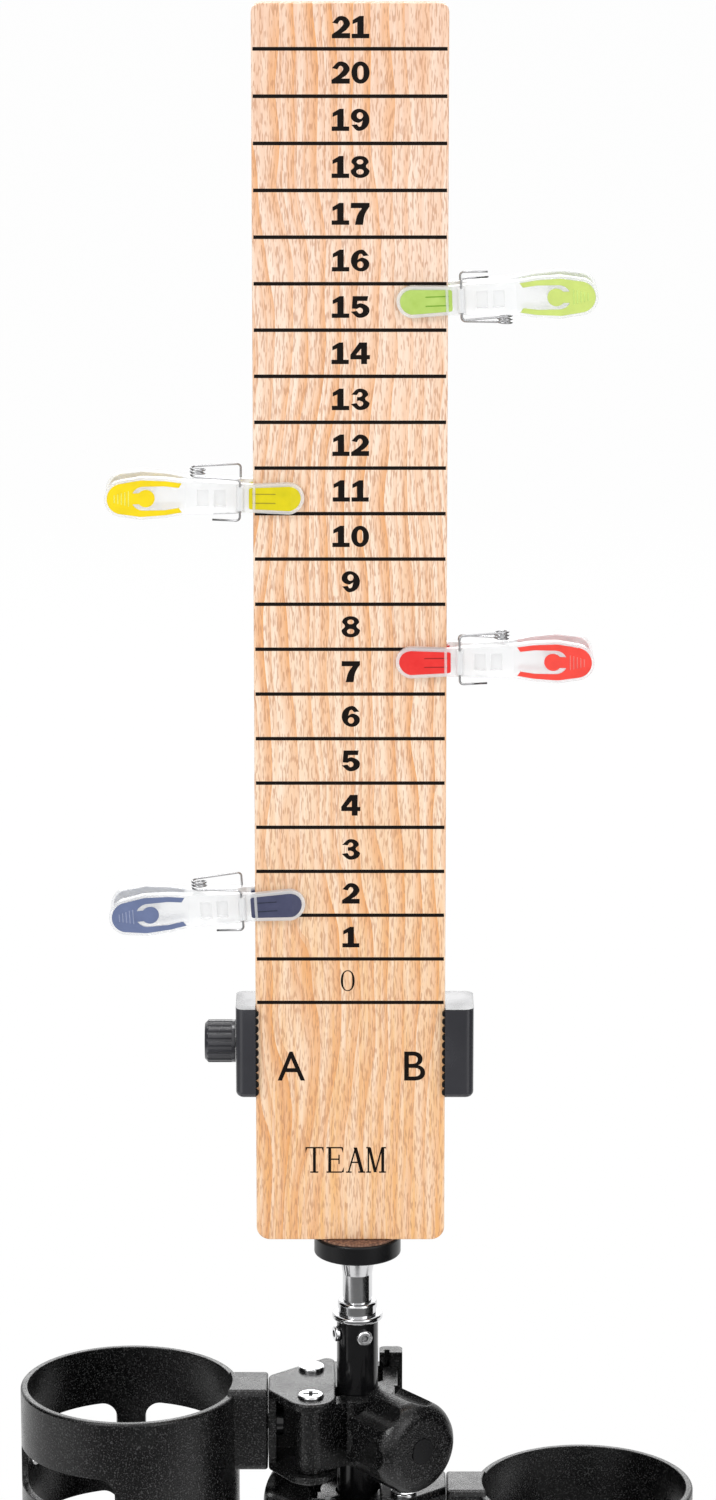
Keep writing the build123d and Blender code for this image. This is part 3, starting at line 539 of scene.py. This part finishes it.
# %% Give each CAD piece its finish
whole_names = {
    "scoreboard": beech, "cork_pad": cork, "platform_disc": deck_black, "pole_tube": tube_black,
    "spigot": chrome, "pole_screws": screw_chrome, "guide_rods": steel, "jaw_screw": steel,
    "fixed_jaw_pad": rubber_black, "sliding_jaw_pad": rubber_black, "holder_frame": smooth_black,
    "sliding_jaw": smooth_black, "jaw_knob": smooth_black}
clamp_pieces = {
    "hinge_screw": screw_chrome, "rivet": chrome, "swivel_bolt": tube_black,
    "press_screw": steel, "press_pad": rubber_black, "star_cap": deck_black}


def finish_of(node):
    """The finish that a CAD piece shows."""
    if node in whole_names:
        return whole_names[node]
    first_word, kind = node.split("_", 1)
    if first_word in pad_finishes:
        if kind.endswith("pads"):
            return pad_finishes[first_word]
        return steel if kind.endswith("spring") else clear
    return clamp_pieces.get(kind, speckled_black)


for name, thing in nodes.items():
    thing.data.materials.clear()
    thing.data.materials.append(finish_of(name))
print("finishes given to", len(nodes), "pieces")

# %% [markdown]
# ## Printed lines
# Twenty-two dark lines part the scores. They are ink on the wood, so they have
# almost no thickness. A line could be painted by the wood's material, but a strip
# of its own keeps a crisp edge in any light and can't smear along the grain. One
# strip is made, thickened by a twentieth of a millimetre and repeated downwards.

# %% Printed lines
board_low, board_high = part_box("scoreboard")
board_mid_x = (board_low.x + board_high.x) / 2
board_top = board_high.z
ink_gap = 0.00003
ink_y = board_low.y - ink_gap
line_count = 22
line_pitch = 17.254 * MM
line_width = 1.35 * MM
line_margins = 1.1 * MM
first_line = 16.58 * MM
ink_black = (0.007, 0.005, 0.004)

ink, ink_shader = new_finish("ink", ink_black, 0.5, Specular_IOR_Level=0.1)
worn = spread(ink, noise(ink, 1500, 3), 0.55, 0.8, 0.0, 0.2)
ink_tone = blend_colours(ink, worn, ink_black, (0.05, 0.028, 0.02))
feed(ink, ink_shader.inputs["Base Color"], ink_tone)
feed(ink, ink_shader.inputs["Roughness"], spread(ink, noise(ink, 700, 2), 0.3, 0.7, 0.42, 0.6))

clear_selection()
bpy.ops.mesh.primitive_plane_add(size=1, location=(board_mid_x, ink_y, board_top - first_line),
                                 rotation=(math.radians(90), 0, 0))
lines = bpy.context.object
lines.scale = (board_high.x - board_low.x - line_margins, line_width, 1)
bpy.ops.object.transform_apply(location=False, rotation=False, scale=True)
skin = lines.modifiers.new("ink", "SOLIDIFY")
skin.thickness = 0.05 * MM
rows = lines.modifiers.new("rows", "ARRAY")
rows.count = line_count
rows.use_relative_offset = False
rows.use_constant_offset = True
rows.constant_offset_displace = (0, -line_pitch, 0)
settle(lines, "score_lines", "board", ink)
print(line_count, "lines, each", round(line_pitch / MM, 3), "mm below the last")

# %% [markdown]
# ## Numbers
# The scores are printed in a heavy upright face, and the one has a flat foot. No
# typeface that Blender carries looks like it, so each digit is drawn once, with
# few points on a square of its own height. A point is a corner where its third
# entry says so, and otherwise the line rounds it. A nine is a six turned over, and
# a zero is one oval in another. All are curves first, which fill their own holes,
# and a mesh afterwards.


# %% Digits
def oval(x, y, half_width, half_height):
    """Four round points of an oval."""
    return [(x, y + half_height), (x + half_width, y), (x, y - half_height), (x - half_width, y)]


def corners(*points):
    """Points that are all corners."""
    return [(x, y, "corner") for x, y in points]


def turned_over(outlines, width):
    """Outlines turned half round on their square."""
    return [[(width - x, 1 - y, *rest) for x, y, *rest in outline] for outline in outlines]


digit_gap_share = 0.07
six_width_share = 0.84
digit_shares = {
    "0": [oval(0.41, 0.5, 0.41, 0.5), oval(0.41, 0.5, 0.14, 0.31)],
    "1": [corners((0, 0), (0.79, 0), (0.79, 0.2), (0.54, 0.2), (0.54, 1), (0.35, 1), (0.04, 0.81),
                  (0.04, 0.63), (0.25, 0.72), (0.25, 0.2), (0, 0.2))],
    "2": [[(0, 0, "corner"), (0.82, 0, "corner"), (0.82, 0.23, "corner"), (0.44, 0.23, "corner"),
           (0.7, 0.43), (0.81, 0.7), (0.41, 1), (0.01, 0.7, "corner"), (0.26, 0.64, "corner"),
           (0.4, 0.8), (0.52, 0.69), (0.42, 0.5), (0, 0.17, "corner")]],
    "3": [[(0.02, 0.72, "corner"), (0.42, 1), (0.8, 0.74), (0.66, 0.53), (0.86, 0.29), (0.42, 0),
           (0, 0.28, "corner"), (0.27, 0.33, "corner"), (0.42, 0.18), (0.57, 0.31), (0.44, 0.43),
           (0.29, 0.43, "corner"), (0.29, 0.61, "corner"), (0.42, 0.61), (0.54, 0.72),
           (0.41, 0.83), (0.28, 0.7, "corner")]],
    "4": [corners((0.41, 1), (0.76, 1), (0.76, 0.42), (0.89, 0.42), (0.89, 0.22), (0.76, 0.22),
                  (0.76, 0), (0.49, 0), (0.49, 0.22), (0, 0.22), (0, 0.43)),
          corners((0.49, 0.72), (0.49, 0.42), (0.25, 0.42))],
    "5": [[(0.09, 1, "corner"), (0.79, 1, "corner"), (0.75, 0.78, "corner"),
           (0.31, 0.78, "corner"), (0.29, 0.63, "corner"), (0.48, 0.67), (0.85, 0.34), (0.42, 0),
           (0, 0.28, "corner"), (0.27, 0.32, "corner"), (0.42, 0.2), (0.55, 0.34), (0.42, 0.47),
           (0.28, 0.41, "corner"), (0.05, 0.43, "corner")]],
    "6": [[(0.82, 0.73, "corner"), (0.46, 1), (0, 0.5), (0.44, 0), (0.84, 0.33), (0.54, 0.63),
           (0.3, 0.54, "corner"), (0.44, 0.81), (0.57, 0.7, "corner")],
          oval(0.43, 0.31, 0.14, 0.15)],
    "7": [[(0.01, 1, "corner"), (0.85, 1, "corner"), (0.85, 0.83, "corner"), (0.65, 0.5),
           (0.55, 0, "corner"), (0.19, 0, "corner"), (0.32, 0.48), (0.51, 0.76, "corner"),
           (0, 0.76, "corner")]],
    "8": [[(0.42, 1), (0.81, 0.75), (0.69, 0.53), (0.85, 0.29), (0.42, 0), (0, 0.29),
           (0.16, 0.53), (0.03, 0.75)], oval(0.42, 0.73, 0.15, 0.11),
          oval(0.42, 0.28, 0.165, 0.12)]}
digit_shares["9"] = turned_over(digit_shares["6"], six_width_share)
print("digits drawn", len(digit_shares))

# %% [markdown]
# ## Printing on the board
# A flat drawing is scaled to its true height, turned upright and laid on the
# board's face, a hair in front of the wood. Each score stands half a row below its
# line, and the highest one has the space above the first line.


# %% Print the numbers
def flat_curve(name, outlines):
    """A filled flat curve through outlines in their own units, made a mesh."""
    curve = bpy.data.curves.new(name, "CURVE")
    curve.dimensions = "2D"
    curve.fill_mode = "FRONT"
    curve.resolution_u = 8
    for outline in outlines:
        spline = curve.splines.new("BEZIER")
        spline.use_cyclic_u = True
        spline.bezier_points.add(len(outline) - 1)
        for point, (x, y, *corner) in zip(spline.bezier_points, outline):
            point.co = (x, y, 0)
            kind = "VECTOR" if corner else "AUTO"
            point.handle_left_type = kind
            point.handle_right_type = kind
    return as_mesh(new_object(name, curve))


def print_on_board(thing, height, x, z, wide=1.0):
    """Lays a flat mesh on the board's face, centred on a point, with its true height."""
    points = [v.co for v in thing.data.vertices]
    low = Vector((min(p.x for p in points), min(p.y for p in points), 0))
    high = Vector((max(p.x for p in points), max(p.y for p in points), 0))
    size = height / (high.y - low.y)
    thing.data.transform(Matrix.Translation((x, ink_y, z))
                         @ Matrix.Rotation(math.radians(90), 4, "X")
                         @ Matrix.Diagonal((size * wide, size, size, 1))
                         @ Matrix.Translation(-(low + high) / 2))
    settle(thing, thing.name, "board", ink)


def number_outlines(text):
    """The outlines of a number, its digits side by side."""
    outlines = []
    start = 0.0
    for digit in text:
        outlines += [[(x + start, y, *rest) for x, y, *rest in outline]
                     for outline in digit_shares[digit]]
        start = max(x for outline in outlines for x, *_ in outline) + digit_gap_share
    return outlines


top_score = 21
digit_height = 8.1 * MM
number_shift = 0.2 * MM
top_score_drop = 0.4 * MM


def score_height(score):
    """How high the middle of a score lies."""
    if score == top_score:
        return board_top - first_line / 2 - top_score_drop
    return board_top - first_line - (top_score - 0.5 - score) * line_pitch


for score in range(1, top_score + 1):
    number = flat_curve(f"number_{score}", number_outlines(str(score)))
    print_on_board(number, digit_height, board_mid_x + number_shift, score_height(score))
print("numbers", top_score)

# %% [markdown]
# ## Letters
# The foot of the board names the two sides, in a plain face, and a light book face
# below says that they are teams. The book face is drawn from bars: thin ones and
# thick ones, each four corners, with small drooping ends. The last score is a
# thin oval in the same hand.


# %% Letters
def bar(x0, y0, x1, y1, width):
    """Four corners of a bar between two points, as wide across X as given."""
    half = width / 2
    return [(x0 - half, y0), (x0 + half, y0), (x1 + half, y1), (x1 - half, y1)]


def slab(x0, x1, y, height=0.055):
    """Four corners of a thin level bar."""
    return [(x0, y), (x1, y), (x1, y + height), (x0, y + height)]


def wedge(x, y, reach, drop):
    """A small triangle that hangs from, or stands on, the end of a bar."""
    return [(x, y), (x + reach, y), (x, y + drop)]


team_shares = (
    [slab(0, 0.68, 0.965), wedge(0, 0.98, 0.07, -0.2), wedge(0.68, 0.98, -0.07, -0.2),
     bar(0.335, 0, 0.335, 1, 0.11), slab(0.18, 0.48, 0)]
    + [slab(0.79, 1.4, 0.965), wedge(1.41, 0.98, -0.07, -0.2), bar(0.91, 0, 0.91, 1, 0.11),
       slab(0.91, 1.27, 0.51), bar(1.26, 0.35, 1.26, 0.71, 0.05), slab(0.79, 1.37, 0),
       wedge(1.44, 0.02, -0.09, 0.2)]
    + [bar(1.61, 0, 1.885, 1, 0.06), bar(2.13, 0, 1.87, 1, 0.13), slab(1.7, 2.0, 0.385),
       slab(1.52, 1.73, 0), slab(1.98, 2.24, 0)]
    + [bar(2.36, 0, 2.36, 1, 0.06), bar(2.62, 0.02, 2.4, 1, 0.11), bar(2.62, 0.02, 2.87, 1, 0.06),
       bar(2.9, 0, 2.9, 1, 0.11), slab(2.28, 2.42, 0.965), slab(2.86, 3.02, 0.965),
       slab(2.28, 2.46, 0), slab(2.76, 3.02, 0)])


def bar_mesh(name, bars):
    """One flat mesh of many bars, their faces all towards the reader."""
    mesh = bmesh.new()
    for points in bars:
        mesh.faces.new([mesh.verts.new((x, y, 0)) for x, y in points])
    bmesh.ops.recalc_face_normals(mesh, faces=mesh.faces)
    for face in mesh.faces:
        if face.normal.z < 0:
            face.normal_flip()
    return object_of(name, mesh)


letter_height = 11.6 * MM
letters_drop = 404.3 * MM
word_height = 10.4 * MM
word_drop = 442 * MM
zero_height = 8.3 * MM


def side_letter(name, letter, shift, wide=1.0):
    """A letter of the built-in face, slightly swollen, beside the board's middle."""
    curve = bpy.data.curves.new(name, "FONT")
    curve.body = letter
    curve.offset = 0.004
    curve.resolution_u = 6
    print_on_board(as_mesh(new_object(name, curve)), letter_height, board_mid_x + shift,
                   board_top - letters_drop, wide)


side_letter("letter_a", "A", -22.5 * MM, 0.92)
side_letter("letter_b", "B", 24.5 * MM)
print_on_board(bar_mesh("word_team", team_shares), word_height, board_mid_x - 1.8 * MM,
               board_top - word_drop)
zero_shares = [oval(0.32, 0.5, 0.32, 0.5), oval(0.32, 0.5, 0.21, 0.455)]
print_on_board(flat_curve("number_0", zero_shares), zero_height, board_mid_x - 1.0 * MM,
               score_height(0))
print("letters, word and zero")

# %% [markdown]
# ## Peg frames
# What is laid on a peg is made in the peg's own frame: X runs out from the board's
# edge, Y across the peg, and Z from one half to the other. Each peg clips an edge
# at its own height, tilts a little, and is put on with its spring upwards or
# downwards, which decides the half that lies on the side of plus Z.

# %% Peg frames
pegs = {  # side of the board, tilt in degrees, spring upwards, height above the board's foot
    "green": (1, 2.2, False, 365.7 * MM), "yellow": (-1, 0.4, True, 291.6 * MM),
    "red": (1, 0.6, True, 229.1 * MM), "navy": (-1, -3.8, True, 133.9 * MM)}


def peg_frame(side, tilt, spring_up, rise):
    """Where a peg's own frame stands, and on which side of it the front half lies."""
    upright = 90 if spring_up == (side < 0) else 270
    edge_x = board_high.x if side > 0 else board_low.x
    middle_y = (board_low.y + board_high.y) / 2
    place = Matrix.Translation((edge_x, middle_y, board_low.z + rise))
    turn = Matrix.Rotation(math.radians(-tilt if side > 0 else 180 + tilt), 4, "Y")
    return place @ turn @ Matrix.Rotation(math.radians(upright), 4, "X"), 1 if upright == 90 else -1


print("pegs", sorted(pegs))

# %% [markdown]
# ## Peg springs
# Each peg's wire spring runs from its front half to its back half, so it has to
# bend when the peg is squeezed. Here the CAD wire is copied, its doubled points
# merged and its shading smoothed, and the CAD spring is hidden.

# %% Peg springs
same_point = 0.000001


def wire_spring(colour):
    """A steel copy of a peg's CAD wire, smoothed, in place of the hidden CAD spring."""
    data = nodes[f"{colour}_peg_spring"].data.copy()
    mesh = bmesh.new()
    mesh.from_mesh(data)
    bmesh.ops.remove_doubles(mesh, verts=mesh.verts, dist=same_point)
    mesh.to_mesh(data)
    mesh.free()
    wire = new_object(f"{colour}_wire", data)
    pick(wire)
    bpy.ops.object.shade_smooth_by_angle(angle=math.radians(50))
    data.materials.clear()
    data.materials.append(steel)
    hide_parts(f"{colour}_peg_spring")
    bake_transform(wire)


# %% [markdown]
# ## Ribs, grooves and straps
# The ribs and grooves of the moulding are thin ridges with a round back, laid on
# the skin of each half. The grooves wear a darker copy of the pad's colour, as
# painted shade, and the ribs a paler copy, as painted highlights. A milky strap of
# the same make covers the wire where it crosses the half. Places along and across
# the half, and sizes, are in millimetres here and become metres when the ridge is
# done.

# %% Ribs, grooves and straps
jaw_end, waist, tail_end = 0, 25, 55
skin_at_jaw, skin_at_waist, skin_at_tail = 6.6, 5.9, 9.6
ridge_steps = 6
ridge_sink = 0.05
ridge_cuts = ((0.0, 0.25), (0.06, 1.0), (0.94, 1.0), (1.0, 0.25))  # share along, share of height


def skin_height(u):
    """How far the peg's skin lies from its middle, at a place along it in millimetres."""
    if u < jaw_end:
        return skin_at_jaw
    if u < waist:
        return skin_at_jaw + (skin_at_waist - skin_at_jaw) * u / waist
    return skin_at_waist + (skin_at_tail - skin_at_waist) * (u - waist) / (tail_end - waist)


def ridges(name, spans, width, height, place, half, body, mat):
    """Round-backed ridges along straight spans on a peg's skin, as one piece."""
    mesh = bmesh.new()
    for (u0, w0), (u1, w1) in spans:
        along = Vector((u1 - u0, w1 - w0, 0)).normalized()
        across = Vector((-along.y, along.x, 0)) * width / 2
        rings = []
        for share, swell in ridge_cuts:
            u = u0 + (u1 - u0) * share
            w = w0 + (w1 - w0) * share
            ring = []
            for step in range(ridge_steps + 1):
                angle = math.pi * step / ridge_steps
                rise = height * math.sin(angle) * swell - ridge_sink
                side = across * math.cos(angle)
                ring.append(mesh.verts.new((u + side.x, w + side.y, skin_height(u) + rise)))
            rings.append(ring)
        for first, second in zip(rings, rings[1:]):
            for step in range(ridge_steps):
                mesh.faces.new((first[step], first[step + 1], second[step + 1], second[step]))
            mesh.faces.new((first[-1], first[0], second[0], second[-1]))
        mesh.faces.new(rings[0])
        mesh.faces.new(rings[-1][::-1])
    bmesh.ops.scale(mesh, vec=(MM, MM, MM * half), verts=mesh.verts)
    bmesh.ops.transform(mesh, matrix=place, verts=mesh.verts)
    bmesh.ops.recalc_face_normals(mesh, faces=mesh.faces)
    settle(object_of(name, mesh), name, body, mat)


jaw_grooves = [((-8.5, w), (0.4, w)) for w in (-1.7, 1.7)]
grip_ribs = [((46.0 + 1.3 * i, -2.9 + 0.35 * i), (46.0 + 1.3 * i, 2.9 - 0.35 * i))
             for i in range(5)]
jaw_rib = [((-0.4, -4.4), (-0.4, 4.4))]
wire_strap = [((4.8, -4.9), (4.8, 4.9))]


def dress_half(colour, end, body, place, half):
    """The four kinds of ridge on one half of a peg, grooves in painted shade, ribs in painted
    highlight.
    """
    soft = f"{colour}_soft"
    kinds = (("jaw_grooves", jaw_grooves, 0.5, 0.14, painted_shade_finishes[colour], soft),
             ("grip_ribs", grip_ribs, 0.5, 0.22, painted_highlight_finishes[colour], soft),
             ("jaw_rib", jaw_rib, 1.1, 0.5, clear, "clear_plastic"),
             ("wire_strap", wire_strap, 2.8, 1.9, milky, "clear_plastic"))
    for kind, spans, width, height, mat, slot in kinds:
        ridges(f"{colour}_{end}_{kind}", spans, width, height, place, half, body, mat)


for colour, fit in pegs.items():
    place, front = peg_frame(*fit)
    wire_spring(colour)
    dress_half(colour, "front", f"{colour}_peg", place, front)
    dress_half(colour, "back", f"{colour}_peg_lever", place, -front)
print("springs and ridges on", len(pegs), "pegs")
